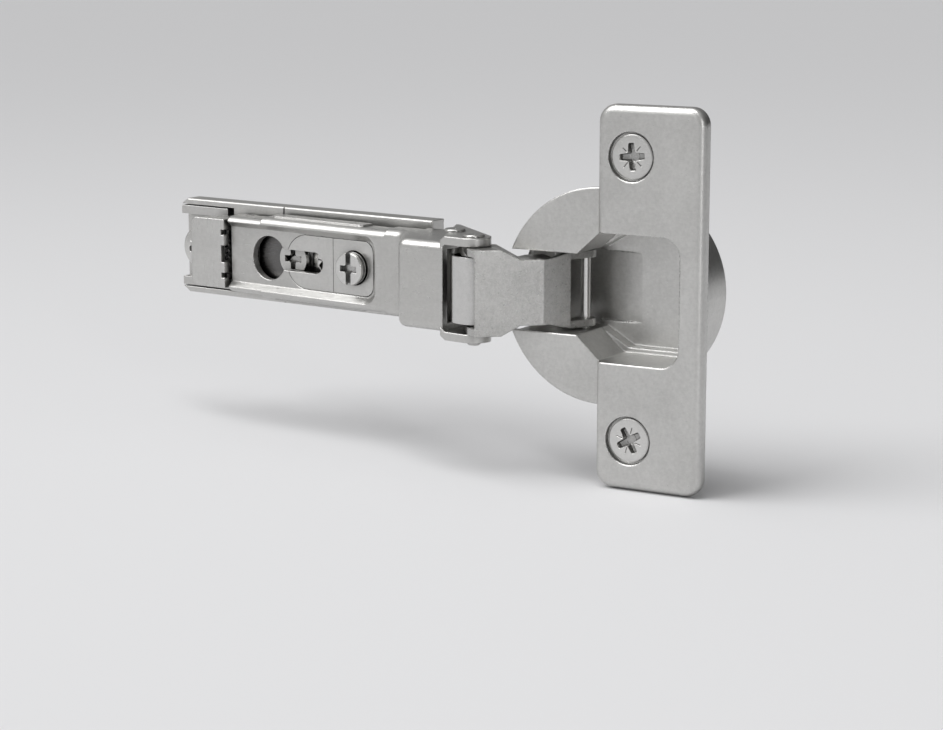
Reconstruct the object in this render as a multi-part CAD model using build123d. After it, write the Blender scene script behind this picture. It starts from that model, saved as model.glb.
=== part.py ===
from build123d import *
import os
from math import atan2, cos, degrees, radians, sin

os.makedirs("parts", exist_ok=True)

# Concealed cup hinge with its door open. X runs along the arm to the cabinet's front edge, Y runs
# into the cabinet side panel, whose face is Y = 0, and Z is up, along the hinge pins. The origin
# lies midway between the two cabinet screws. "Outward" is -Y, away from the cabinet side.

# ---------------------------------------------------------------- driving dimensions, mm, degrees

# running and assembly clearances
PIN_PLAY = 0.04
SLIDE_PLAY = 0.1
INLAY_PLAY = 0.1
SCREW_PLAY = 0.2
RAIL_PLAY = 0.3
DOOR_PLAY = 0.3

# mounting plate
PLATE_REAR_X = -21.8
PLATE_FRONT_X = 39.1
PLATE_HALF = 9.15
PLATE_THICK = 3.5
PLATE_CHAMFER_X = 1.9
PLATE_CHAMFER_Z = 1.3
PLATE_EDGE_R = 0.4
SCREW_SPACING = 32.0
POCKET_FRONT_X = -8.0
POCKET_RIM = 1.1
POCKET_DEPTH = 2.3
BOSS_R = 3.5
SEAM_X = 4.4
SEAM_W = 0.3

# cabinet screws
PLATE_SCREW_HEAD_R = 3.95
PLATE_SCREW_HEAD_H = 1.8
PLATE_SCREW_DOME_R = 1.08
PLATE_SCREW_SHANK_R = 2.0
PLATE_SCREW_REACH = 12.5
REAR_SCREW_TURN = 12.0
FRONT_SCREW_TURN = 40.0

# slider under the arm: rails in the plate's pocket, and the channel that carries the arm
SLIDE_TRAVEL = 1.2
RAIL_W = 1.6
RAIL_REAR_X = -21.3
RAIL_FRONT_X = -9.6
BRIDGE_LENGTH = 1.4
GUIDE_HALF = 5.2
GUIDE_SHEET = 1.0
GUIDE_LIFT = 0.9
GUIDE_WEB_REAR_X = 0.0
GUIDE_FRONT_X = 34.0
GUIDE_EAR_FRONT_Y = -6.7
GUIDE_EAR_REAR_X = -12.0
GUIDE_EAR_CORNER = 1.0

# depth cam
CAM_X = 8.8
CAM_THROW = 1.45
CAM_DISC_R = 1.95
CAM_JOURNAL_R = 1.9
CAM_HEAD_R = 3.2
CAM_HEAD_H = 0.85

# release lever at the rear
LEVER_PIN_X = -9.3
LEVER_PIN_Y = -5.5
LEVER_PIN_R = 1.0
LEVER_HALF = 6.55
LEVER_SHEET = 1.2
LEVER_REAR_X = -14.1
LEVER_FRONT_Y = -9.0
LEVER_GAP = 0.6
LEVER_NOTCH = 0.8
LEVER_NOTCH_W = 3.2
LEVER_SIDE_NOTCH_W = 1.0
LEVER_SIDE_NOTCH_Z = 4.1
LEVER_EYE_WALL = 0.7
LEVER_SPRING_R = 1.35
LEVER_WIRE_R = 0.25
LEVER_SPRING_HALF = 3.3
LEVER_SPRING_TURNS = 5

# arm: folded sheet with a trough, a crank and two flared cheeks
ARM_SHEET = 1.45
ARM_REAR_X = -5.3
ARM_SLOPE = 2.36
ARM_FACE_Y = -8.92
ARM_HALF = 7.6
ARM_REAR_HALF = 7.2
ARM_STEP_X = 3.1
ARM_WALL_DEPTH = 4.5
ARM_EDGE_R = 1.5
CRANK_X = 37.4
CRANK_RUN = 5.0
CRANK_RISE = 7.5
CRANK_BEND_R = 2.0
CRANK_LEAD = 4.0
NOSE_HALF = 7.9
NOSE_WEB_SETBACK = 5.3
NOSE_BACK_Y = -4.35
NOSE_FOOT_REAR = 1.5
NOSE_FOOT_FRONT = 8.5
CHEEK_GAP_HALF = 7.6
CHEEK_SETBACK = 0.1
CHEEK_JOG = 1.3
CHEEK_EYE_OUTER_R = 3.0
CHEEK_EYE_INNER_R = 2.1
TROUGH_HALF = 5.2
TROUGH_SHOULDER = 1.1
TROUGH_DEPTH = 1.2
TROUGH_END_X = 30.1
TROUGH_CORNER_R = 1.6
PAD_REAR_X = 4.6
PAD_FRONT_X = 27.0
PAD_RISE = 0.35
KEYHOLE_X = 4.3
KEYHOLE_R = 4.15
KEYHOLE_SLOT_HALF = 2.0
KEYHOLE_END_X = 17.7
INLAY_HALF = 5.0
INLAY_SEAM_X = 20.25
INLAY_END_X = 29.75
INLAY_CORNER_R = 2.0
TILT_PIN_X = -2.5
TILT_PIN_Y = -5.2
TILT_PIN_R = 0.8
TILT_LOBE_R = 1.5

# side adjusting screw
SIDE_SCREW_X = 25.3
SIDE_SCREW_R = 3.0
SIDE_SCREW_PROUD = 1.85
SIDE_SCREW_NECK_R = 1.5
SIDE_SCREW_FOOT_R = 2.3
SIDE_SCREW_THREAD = 0.5

# pivot layout: the outer link's arm pin, then the inner link's arm pin measured from it
OUTER_PIN_X = 57.2
OUTER_PIN_Y = -15.9
INNER_PIN_DX = -7.1
INNER_PIN_DY = 4.2
ARM_PIN_R = 1.2
ARM_PIN_HEAD_R = 1.9
ARM_PIN_HEAD_H = 0.45
ARM_PIN_DOME_R = 0.36
ARM_PIN_TAIL = 0.75

# cup: its centre on the door's face, measured from the outer link's arm pin
CUP_DX = 22.27
CUP_DY = 6.31
DOOR_TILT = 5.5
SHUT_CUP_DX = -2.2
CUP_R = 17.5
CUP_DEPTH = 12.6
RIM_R = 18.5
RIM_PROUD = 0.9
FLANGE_LEFT = -0.3
FLANGE_RIGHT = 19.4
FLANGE_LENGTH = 65.1
FLANGE_PROUD = 2.2
FLANGE_CORNER_R = 3.0
FLANGE_EDGE_R = 1.3
CUP_SCREW_S = 6.0
CUP_SCREW_SPACING = 48.0
CUP_SEAT_R = 4.2
CUP_SEAT_DEPTH = 1.0
MOUTH_HALF = 7.0
MOUTH_LIP_DEPTH = 4.0
MOUTH_LIP_WALL = 2.0
MOUTH_CORNER_S = -4.6
POCKET_CORNER_S = -0.2
POCKET_HALF = 11.0
POCKET_END_S = 15.2
POCKET_CORNER_R = 3.4
POCKET_LEDGE_DEPTH = 8.6
POCKET_LEDGE_W = 0.9
FLOOR_DEPTH = 11.0
DOOR_EDGE_S = 19.4
WELL_DEPTH = 11.8
WELL_HALF = 6.1
WELL_EDGE_S = -6.0
WELL_FADE_S = 2.0

# cup screws
CUP_SCREW_HEAD_R = 3.8
CUP_SCREW_RIM = 0.45
CUP_SCREW_CONE = 1.0
CUP_SCREW_SHANK_R = 1.75
CUP_SCREW_REACH = 12.0
UPPER_SCREW_TURN = 5.0
LOWER_SCREW_TURN = 30.0

# cup pins, along the door and into it from the cup's centre
CUP_PIN_S = -7.1
CUP_PIN_DEPTH = 7.3
CUP_PIN_R = 0.85
CUP_PIN_BITE = 1.2
SHORT_PIN_DEPTH = 3.0
SHORT_PIN_R = 0.6

# outer link: folded sheet, web outward
LINK_SHEET = 1.3
LINK_WEB_START = -0.54
LINK_WEB_Y = 5.98
LINK_BEND = 11.41
LINK_BEND_Y = 5.39
LINK_TIP = 16.3
LINK_TIP_Y = 3.55
LINK_HALF = 7.45
LINK_WAIST_HALF = 5.65
LINK_SHOULDER = 4.0
LINK_WAIST = 7.4
LINK_EYE_R = 3.16
LINK_CUP_EYE_R = 1.8
LINK_CUP_HALF = 6.65
LINK_BACK_RUN = 1.6

# inner link: one wide eye on the arm, a narrow body, a short pin at the cup end; the body bows
# round the door's edge through three stations given along the door and into it
INNER_HALF = 3.8
INNER_EYE_R = 2.1
INNER_BODY_HALF = 0.75
INNER_TIP_R = 1.1
BOW_NEAR = (-24.0, -0.6)
BOW_EDGE = (-19.8, -1.1)
BOW_LIP = (-17.2, -1.0)

# spring round the outer link's arm pin, and the half sleeve that shields it
SLEEVE_R = 4.35
SLEEVE_FLAT = 3.3
SLEEVE_WALL = 0.6
SLEEVE_HALF = 5.8
SLEEVE_FROM = 165.0
SLEEVE_TO = 325.0
SPRING_R = 2.1
SPRING_WIRE_R = 0.45
SPRING_PITCH = 1.15
SPRING_HALF = 5.0

# drive recesses
RECESS_W = 1.15
RECESS_REACH = 0.62
RECESS_DEPTH = 1.1
RECESS_MIDDLE_W = 1.95

# wood screws: length of the point in radii, and the plain neck under the head
SCREW_TIP = 1.5
NECK_UNDERCUT = 0.2
NECK_BEYOND = 0.15

# ---------------------------------------------------------------- places worked out from them

OUTER_PIN = Vector(OUTER_PIN_X, OUTER_PIN_Y)
INNER_PIN = OUTER_PIN + Vector(INNER_PIN_DX, INNER_PIN_DY)
CUP_CENTRE = OUTER_PIN + Vector(CUP_DX, CUP_DY)
ALONG = Vector(cos(radians(DOOR_TILT)), sin(radians(DOOR_TILT)))
INWARD = Vector(-sin(radians(DOOR_TILT)), cos(radians(DOOR_TILT)))
CUP_PIN = CUP_CENTRE + ALONG * CUP_PIN_S + INWARD * CUP_PIN_DEPTH
LINK_LENGTH = (CUP_PIN - OUTER_PIN).length
LINK_ANGLE = degrees(atan2(CUP_PIN.Y - OUTER_PIN.Y, CUP_PIN.X - OUTER_PIN.X))

# with the door shut the cup has turned a right angle and the door's tilt back towards the cabinet
CLOSING_TURN = 90 + DOOR_TILT
SHUT_PIN_DX = SHUT_CUP_DX + CUP_PIN_DEPTH
SHUT_PIN_DY = (LINK_LENGTH ** 2 - SHUT_PIN_DX ** 2) ** 0.5
SHUT_CUP = OUTER_PIN + Vector(SHUT_CUP_DX, SHUT_PIN_DY + CUP_PIN_S)

PLATE_SCREW_X = SCREW_SPACING / 2
CUP_SCREW_FACE = FLANGE_PROUD - CUP_SEAT_DEPTH + CUP_SCREW_RIM + SLIDE_PLAY
RAIL_TOP = PLATE_HALF - POCKET_RIM - RAIL_PLAY
BRIDGE_X = RAIL_FRONT_X - BRIDGE_LENGTH / 2
WEB_FACE_Y = -PLATE_THICK - GUIDE_LIFT - GUIDE_SHEET
CHEEK_OUTER_HALF = PLATE_HALF - CHEEK_SETBACK
NOSE_WEB_END_X = OUTER_PIN_X - NOSE_WEB_SETBACK
ARM_END_Y = ARM_FACE_Y - CRANK_X * sin(radians(ARM_SLOPE))
LEAD_Y = ARM_END_Y + CRANK_LEAD * sin(radians(ARM_SLOPE))
NOSE_Y = ARM_END_Y - CRANK_RISE


def inner_link_cup_pin():
    """Place along the cup where the inner link is equally long with the door open and shut."""
    open_cup = CUP_CENTRE - INNER_PIN
    shut_cup = SHUT_CUP - INNER_PIN
    shut_along = ALONG.rotate(Axis.Z, -CLOSING_TURN)
    shut_inward = INWARD.rotate(Axis.Z, -CLOSING_TURN)
    reach = (shut_cup.length ** 2 - open_cup.length ** 2) / 2
    swing = SHORT_PIN_DEPTH * (open_cup.dot(INWARD) - shut_cup.dot(shut_inward))
    place = (reach - swing) / (open_cup.dot(ALONG) - shut_cup.dot(shut_along))
    return CUP_CENTRE + ALONG * place + INWARD * SHORT_PIN_DEPTH


SHORT_PIN = inner_link_cup_pin()

ARM_FRAME = Pos(0, ARM_FACE_Y, 0) * Rot(0, 0, -ARM_SLOPE)
LINK_FRAME = Pos(OUTER_PIN_X, OUTER_PIN_Y, 0) * Rot(0, 0, LINK_ANGLE)
CUP_FRAME = Plane(origin=CUP_CENTRE, x_dir=ALONG, z_dir=-INWARD).location

# a reach well beyond any piece of the hinge, for shapes that only trim others
WELL_CLEAR = FLANGE_LENGTH / 2 + CUP_R

# ---------------------------------------------------------------- shapes used by several pieces


def across(outline, low, high):
    """An outline in X and Y carried along Z from low to high."""
    return Pos(0, 0, low) * extrude(outline, amount=high - low)


def outward(outline, back, front):
    """An outline in X and Z standing from Y = back out to Y = front."""
    return extrude(Plane.XZ.offset(-back) * outline, amount=back - front)


def both_sides(solid):
    """A piece of sheet and its twin on the other side of the mid-plane."""
    return solid + mirror(solid, about=Plane.XY)


def outline_of(*points):
    return make_face(Polyline(*points, close=True))


def disc(centre, radius):
    return Pos(centre.X, centre.Y) * Circle(radius)


def pin_along_z(centre, radius, low, high):
    return across(disc(centre, radius), low, high)


def cross_recess(head_r, depth):
    """Cross slots with a squared centre, cut down from Z = 0."""
    reach = head_r * 2 * RECESS_REACH
    arms = Rectangle(reach, RECESS_W) + Rectangle(RECESS_W, reach) + recess_middle()
    return Pos(0, 0, -depth) * extrude(arms, amount=2 * depth)


def recess_middle():
    return Rot(0, 0, 45) * Rectangle(RECESS_MIDDLE_W, RECESS_MIDDLE_W)


def pointed_shank(radius, grip, length):
    """Plain neck through the clamped sheet, then the thread's outside and the point, below Z = 0."""
    tip = SCREW_TIP * radius
    neck_end = grip + NECK_BEYOND
    down = (Align.CENTER, Align.CENTER, Align.MAX)
    neck = Cylinder(radius - NECK_UNDERCUT, neck_end, align=down)
    thread = Pos(0, 0, -neck_end) * Cylinder(radius, length - tip - neck_end, align=down)
    point = Pos(0, 0, tip - length) * Cone(radius / 5, radius, tip, align=down)
    return neck + thread + point


# ---------------------------------------------------------------- pieces fixed to the cabinet


def mounting_plate():
    """Die-cast base: a flat bar with a sunk rear pocket for the slider's rails."""
    end_half = PLATE_HALF - PLATE_CHAMFER_Z
    face = outline_of(
        (PLATE_REAR_X, -end_half),
        (PLATE_REAR_X + PLATE_CHAMFER_X, -PLATE_HALF),
        (PLATE_FRONT_X, -PLATE_HALF),
        (PLATE_FRONT_X, PLATE_HALF),
        (PLATE_REAR_X + PLATE_CHAMFER_X, PLATE_HALF),
        (PLATE_REAR_X, end_half),
    )
    body = outward(face, 0, -PLATE_THICK)
    body = fillet(body.faces().sort_by(Axis.Y)[0].edges(), PLATE_EDGE_R)
    pocket_length = POCKET_FRONT_X - PLATE_REAR_X
    pocket = Rectangle(2 * pocket_length, 2 * (PLATE_HALF - POCKET_RIM))
    pocket = Pos(POCKET_FRONT_X - pocket_length, 0) * pocket
    body -= outward(pocket, POCKET_DEPTH - PLATE_THICK, -2 * PLATE_THICK)
    body += outward(Pos(-PLATE_SCREW_X, 0) * Circle(BOSS_R), 0, -PLATE_THICK)
    seam = Pos(SEAM_X, 0) * Rectangle(SEAM_W, 4 * PLATE_HALF)
    body -= outward(seam, SEAM_W - PLATE_THICK, -2 * PLATE_THICK)
    for x in (-PLATE_SCREW_X, PLATE_SCREW_X):
        hole = Pos(x, 0) * Circle(PLATE_SCREW_SHANK_R + SCREW_PLAY)
        body -= outward(hole, PLATE_THICK, -2 * PLATE_THICK)
    journal_hole = Pos(CAM_X, 0) * Circle(CAM_JOURNAL_R + PIN_PLAY)
    return body - outward(journal_hole, PLATE_THICK, -2 * PLATE_THICK)


def plate_screw():
    """Pan head wood screw, its head's seat at Z = 0 and its point downward."""
    head = Cylinder(PLATE_SCREW_HEAD_R, PLATE_SCREW_HEAD_H, align=(Align.CENTER, Align.CENTER, Align.MIN))
    head = fillet(head.faces().sort_by(Axis.Z)[-1].edges(), PLATE_SCREW_DOME_R)
    shank = pointed_shank(PLATE_SCREW_SHANK_R, PLATE_THICK, PLATE_THICK + PLATE_SCREW_REACH)
    recess = Pos(0, 0, PLATE_SCREW_HEAD_H) * cross_recess(PLATE_SCREW_HEAD_R, RECESS_DEPTH)
    return head + shank - recess


def plate_screws():
    """The two cabinet screws, driven home through the plate."""
    screws = []
    for x, turn in ((-PLATE_SCREW_X, REAR_SCREW_TURN), (PLATE_SCREW_X, FRONT_SCREW_TURN)):
        screws.append(Pos(x, -PLATE_THICK, 0) * Rot(90, 0, 0) * Rot(0, 0, turn) * plate_screw())
    return Compound(screws)


def depth_cam():
    """Eccentric: a journal in the plate, an offset disc in the guide's slot and a slotted head."""
    head_seat = WEB_FACE_Y - SLIDE_PLAY / 2
    journal = outward(Pos(CAM_X, 0) * Circle(CAM_JOURNAL_R), -SLIDE_PLAY, -PLATE_THICK - SLIDE_PLAY)
    disc_face = Pos(CAM_X, -CAM_THROW) * Circle(CAM_DISC_R)
    offset_disc = outward(disc_face, -PLATE_THICK - SLIDE_PLAY, head_seat)
    head = outward(Pos(CAM_X, 0) * Circle(CAM_HEAD_R), head_seat, head_seat - CAM_HEAD_H)
    recess = Rot(90, 0, 0) * cross_recess(CAM_HEAD_R, RECESS_DEPTH)
    recess = Pos(CAM_X, head_seat - CAM_HEAD_H, 0) * recess
    return journal + offset_disc + head - recess


# ---------------------------------------------------------------- pieces on the slider


def plate_slider():
    """Two rails in the plate's pocket, joined by a bridge in front of the screw boss."""
    rail_half = RAIL_W / 2
    rail_mid = (RAIL_REAR_X + RAIL_FRONT_X) / 2
    rail = Pos(rail_mid, RAIL_TOP - rail_half) * Rectangle(RAIL_FRONT_X - RAIL_REAR_X, RAIL_W)
    twin = Pos(rail_mid, rail_half - RAIL_TOP) * Rectangle(RAIL_FRONT_X - RAIL_REAR_X, RAIL_W)
    floor = POCKET_DEPTH - PLATE_THICK - SLIDE_PLAY
    bars = outward(rail, floor, -PLATE_THICK) + outward(twin, floor, -PLATE_THICK)
    bridge = Pos(BRIDGE_X, 0) * Rectangle(BRIDGE_LENGTH, 2 * RAIL_TOP - RAIL_W)
    return bars + outward(bridge, floor, SLIDE_PLAY - PLATE_THICK)


def guide_channel():
    """Folded guide: a web over the plate and two walls that run back as ears for the pins."""
    web_mid = (GUIDE_WEB_REAR_X + GUIDE_FRONT_X) / 2
    web_face = Pos(web_mid, 0) * Rectangle(GUIDE_FRONT_X - GUIDE_WEB_REAR_X, 2 * GUIDE_HALF)
    web_back_y = WEB_FACE_Y + GUIDE_SHEET
    foot_y = -PLATE_THICK - SLIDE_PLAY
    wall_line = outline_of(
        (GUIDE_EAR_REAR_X, foot_y),
        (GUIDE_EAR_REAR_X, GUIDE_EAR_FRONT_Y + GUIDE_EAR_CORNER),
        (GUIDE_EAR_REAR_X + GUIDE_EAR_CORNER, GUIDE_EAR_FRONT_Y),
        (LEVER_PIN_X + 2 * LEVER_PIN_R, GUIDE_EAR_FRONT_Y),
        (LEVER_PIN_X + 3 * LEVER_PIN_R, WEB_FACE_Y),
        (GUIDE_FRONT_X, WEB_FACE_Y),
        (GUIDE_FRONT_X, foot_y),
    )
    foot = Pos(BRIDGE_X, -PLATE_THICK) * Rectangle(BRIDGE_LENGTH, 2 * SLIDE_PLAY)
    wall = across(wall_line + foot, GUIDE_HALF - GUIDE_SHEET, GUIDE_HALF)
    body = outward(web_face, web_back_y, WEB_FACE_Y) + both_sides(wall)
    opening_r = PLATE_SCREW_HEAD_R + SLIDE_PLAY
    screw_opening = SlotCenterToCenter(2 * SLIDE_TRAVEL, 2 * opening_r)
    body -= outward(Pos(PLATE_SCREW_X, 0) * screw_opening, foot_y, 2 * WEB_FACE_Y)
    slot_w = 2 * (CAM_DISC_R + SLIDE_PLAY)
    slot_low = -CAM_THROW - CAM_DISC_R - SLIDE_PLAY
    slot_high = CAM_DISC_R - CAM_THROW / 2 + SLIDE_PLAY
    cam_slot = Pos(CAM_X, (slot_low + slot_high) / 2) * Rectangle(slot_w, slot_high - slot_low)
    body -= outward(cam_slot, foot_y, 2 * WEB_FACE_Y)
    neck_hole = Pos(SIDE_SCREW_X, 0) * Circle(SIDE_SCREW_NECK_R + PIN_PLAY)
    body -= outward(neck_hole, foot_y, 2 * WEB_FACE_Y)
    for x, y, r in ((LEVER_PIN_X, LEVER_PIN_Y, LEVER_PIN_R), (TILT_PIN_X, TILT_PIN_Y, TILT_PIN_R)):
        body -= pin_along_z(Vector(x, y), r + PIN_PLAY, -PLATE_HALF, PLATE_HALF)
    return body


def lever_pin():
    return pin_along_z(Vector(LEVER_PIN_X, LEVER_PIN_Y), LEVER_PIN_R, -LEVER_HALF, LEVER_HALF)


def lever_spring():
    """Return spring wound on the lever pin between the guide's ears."""
    height = 2 * (LEVER_SPRING_HALF - LEVER_WIRE_R)
    path = Helix(pitch=height / LEVER_SPRING_TURNS, height=height, radius=LEVER_SPRING_R)
    start = Plane(origin=path @ 0, z_dir=path % 0)
    coil = sweep(start * Circle(LEVER_WIRE_R), path=path)
    return Pos(LEVER_PIN_X, LEVER_PIN_Y, -height / 2) * coil


def release_lever():
    """Folded lever: a front plate with three notches and two cheeks on the lever pin."""
    front_x = ARM_REAR_X - LEVER_GAP
    inner_y = LEVER_FRONT_Y + LEVER_SHEET
    plate_w = front_x - LEVER_REAR_X
    face = Pos((front_x + LEVER_REAR_X) / 2, 0) * Rectangle(plate_w, 2 * LEVER_HALF)
    face = fillet(face.vertices().group_by(Axis.X)[0], LEVER_SHEET)
    face -= Pos(front_x, 0) * Rectangle(2 * LEVER_NOTCH, LEVER_NOTCH_W)
    for z in (-LEVER_SIDE_NOTCH_Z, LEVER_SIDE_NOTCH_Z):
        face -= Pos(front_x, z) * Rectangle(2 * LEVER_NOTCH, LEVER_SIDE_NOTCH_W)
    front = outward(face, inner_y, LEVER_FRONT_Y)
    boss_r = LEVER_PIN_R + LEVER_EYE_WALL
    side = outline_of(
        (LEVER_REAR_X + LEVER_SHEET, inner_y - LEVER_SHEET / 2),
        (front_x, inner_y - LEVER_SHEET / 2),
        (front_x, inner_y + LEVER_SHEET),
        (LEVER_PIN_X + boss_r, LEVER_PIN_Y),
        (LEVER_PIN_X - boss_r, LEVER_PIN_Y),
    )
    side += disc(Vector(LEVER_PIN_X, LEVER_PIN_Y), boss_r)
    side -= disc(Vector(LEVER_PIN_X, LEVER_PIN_Y), LEVER_PIN_R + PIN_PLAY)
    cheek = across(side, GUIDE_HALF + SLIDE_PLAY, LEVER_HALF)
    return front + both_sides(cheek)


# ---------------------------------------------------------------- the arm and what it carries


def arm_segment(rear_x, front_x, half):
    """A length of straight channel in the arm's own frame, its outward face at Y = 0."""
    ends = Pos((rear_x + front_x) / 2, 0) * Rectangle(front_x - rear_x, 2 * half)
    block = outward(ends, ARM_WALL_DEPTH, 0)
    long_edges = block.edges().filter_by(Axis.X).group_by(Axis.Y)[0]
    block = fillet(long_edges, ARM_EDGE_R)
    hollow = Pos((rear_x + front_x) / 2, 0) * Rectangle(front_x - rear_x, 2 * (half - ARM_SHEET))
    return block - outward(hollow, 2 * ARM_WALL_DEPTH, ARM_SHEET)


def trough_outline(half, end_x, corner_r):
    length = end_x - 2 * ARM_REAR_X
    face = Pos(end_x - length / 2, 0) * Rectangle(length, 2 * half)
    return fillet(face.vertices().group_by(Axis.X)[-1], corner_r)


def keyhole():
    slot_end = KEYHOLE_END_X - KEYHOLE_SLOT_HALF
    slot = SlotCenterToCenter(slot_end - KEYHOLE_X, 2 * KEYHOLE_SLOT_HALF)
    return Pos(KEYHOLE_X, 0) * Circle(KEYHOLE_R) + Pos((KEYHOLE_X + slot_end) / 2, 0) * slot


def adjuster_outline(play):
    round_x = KEYHOLE_X + KEYHOLE_R + INLAY_PLAY * 3 + INLAY_HALF
    half = INLAY_HALF + play
    straight = Pos((round_x + INLAY_SEAM_X) / 2, 0) * Rectangle(INLAY_SEAM_X - round_x + play, 2 * half)
    return straight + Pos(round_x, 0) * Circle(half)


def tab_outline(play):
    length = INLAY_END_X - INLAY_SEAM_X
    face = Pos((INLAY_SEAM_X + INLAY_END_X) / 2, 0) * Rectangle(length + 2 * play, 2 * (INLAY_HALF + play))
    return fillet(face.vertices().group_by(Axis.X)[-1], INLAY_CORNER_R)


def front_line(setback, bend_in, bend_out):
    """The crank's front face seen from above, set back into the sheet."""
    start = Vector(CRANK_X - CRANK_LEAD, LEAD_Y + setback)
    rise_angle = atan2(CRANK_RISE, CRANK_RUN)
    shift = setback * (1 - cos(rise_angle)) / sin(rise_angle)
    low = Vector(CRANK_X + shift, ARM_END_Y + setback)
    high = Vector(CRANK_X + CRANK_RUN + shift, NOSE_Y + setback)
    end = Vector(NOSE_WEB_END_X, NOSE_Y + setback)
    return FilletPolyline(start, low, high, end, radius=[bend_in, bend_out])


def crank_web():
    """The folded web from the trunk out to the nose, with its long edges rounded."""
    outer = front_line(0, CRANK_BEND_R, CRANK_BEND_R)
    inner = front_line(ARM_SHEET, CRANK_BEND_R + ARM_SHEET, CRANK_BEND_R - ARM_SHEET)
    caps = Line(outer @ 0, inner @ 0) + Line(outer @ 1, inner @ 1)
    return make_face(outer.edges() + inner.edges() + caps.edges())


def cheek_line():
    """Which way the joggle runs across a cheek, from the web's corner to behind the inner pin."""
    corner = Vector(NOSE_WEB_END_X + CHEEK_JOG / 2, NOSE_Y)
    behind = INNER_PIN + (INNER_PIN - OUTER_PIN).normalized() * (CHEEK_EYE_INNER_R * 0.8)
    return corner, (behind - corner).normalized()


def side_outline():
    """Cheek and nose wall seen along the pins."""
    eyes = disc(OUTER_PIN, CHEEK_EYE_OUTER_R) + disc(INNER_PIN, CHEEK_EYE_INNER_R)
    nose = outline_of(
        (CRANK_X + CRANK_RUN, NOSE_Y),
        (NOSE_WEB_END_X + CHEEK_JOG / 2, NOSE_Y),
        (CRANK_X + NOSE_FOOT_FRONT, NOSE_BACK_Y),
        (CRANK_X + NOSE_FOOT_REAR, NOSE_BACK_Y),
    )
    return make_hull((eyes + nose).edges())


def nose():
    """Crank and nose: web, side walls, and the flared cheeks that hold the two arm pins."""
    web = across(crank_web(), -NOSE_HALF, NOSE_HALF)
    trunk_back_y = ARM_END_Y + ARM_WALL_DEPTH
    root = outline_of(
        (CRANK_X - CRANK_LEAD, LEAD_Y),
        (CRANK_X, ARM_END_Y),
        (CRANK_X + CRANK_RUN, NOSE_Y),
        (CRANK_X + CRANK_RUN, trunk_back_y),
        (CRANK_X - CRANK_LEAD, trunk_back_y),
    )
    outer = front_line(0, CRANK_BEND_R, CRANK_BEND_R)
    far = Vector(NOSE_WEB_END_X, trunk_back_y + WELL_CLEAR)
    near = Vector(CRANK_X - CRANK_LEAD, trunk_back_y + WELL_CLEAR)
    behind = make_face(outer.edges() + Polyline(outer @ 1, far, near, outer @ 0).edges())
    wall_face = (side_outline() + root) & behind
    wall = across(wall_face, NOSE_HALF - ARM_SHEET, NOSE_HALF)
    shell = web + both_sides(wall)
    rim = shell.edges().filter_by(lambda e: abs(abs(e.center().Z) - NOSE_HALF) < 0.01)
    rim = rim.filter_by(lambda e: on_front(e.center(), outer))
    shell = fillet(rim, ARM_EDGE_R)
    corner, run = cheek_line()
    back_run = run.rotate(Axis.Z, -90)
    section = outline_of(
        (-WELL_CLEAR, NOSE_HALF - ARM_SHEET),
        (-CHEEK_JOG, NOSE_HALF - ARM_SHEET),
        (0, CHEEK_GAP_HALF),
        (WELL_CLEAR, CHEEK_GAP_HALF),
        (WELL_CLEAR, CHEEK_OUTER_HALF),
        (0, CHEEK_OUTER_HALF),
        (-CHEEK_JOG, NOSE_HALF),
        (-WELL_CLEAR, NOSE_HALF),
    )
    band = extrude(Plane(origin=corner, x_dir=back_run, z_dir=-run) * section, amount=WELL_CLEAR, both=True)
    keep = side_outline() - outline_of(
        (CRANK_X, NOSE_Y - WELL_CLEAR),
        (NOSE_WEB_END_X, NOSE_Y - WELL_CLEAR),
        (NOSE_WEB_END_X, NOSE_Y + ARM_SHEET),
        (CRANK_X, NOSE_Y + ARM_SHEET),
    )
    cheek = across(keep & far_of_riser(), 0, WELL_CLEAR) & band
    return shell + both_sides(cheek)


def far_of_riser():
    """Everything beyond the crank's riser, so that a cheek never shows through it."""
    return outline_of(
        (CRANK_X + CRANK_RUN + CRANK_BEND_R, NOSE_Y - WELL_CLEAR),
        (CRANK_X + WELL_CLEAR, NOSE_Y - WELL_CLEAR),
        (CRANK_X + WELL_CLEAR, NOSE_Y + WELL_CLEAR),
        (CRANK_X + CRANK_RUN + CRANK_BEND_R, NOSE_Y + WELL_CLEAR),
    )


def on_front(point, line):
    flat = Vector(point.X, point.Y)
    return line.distance_to(Vertex(flat)) < 0.05


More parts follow.
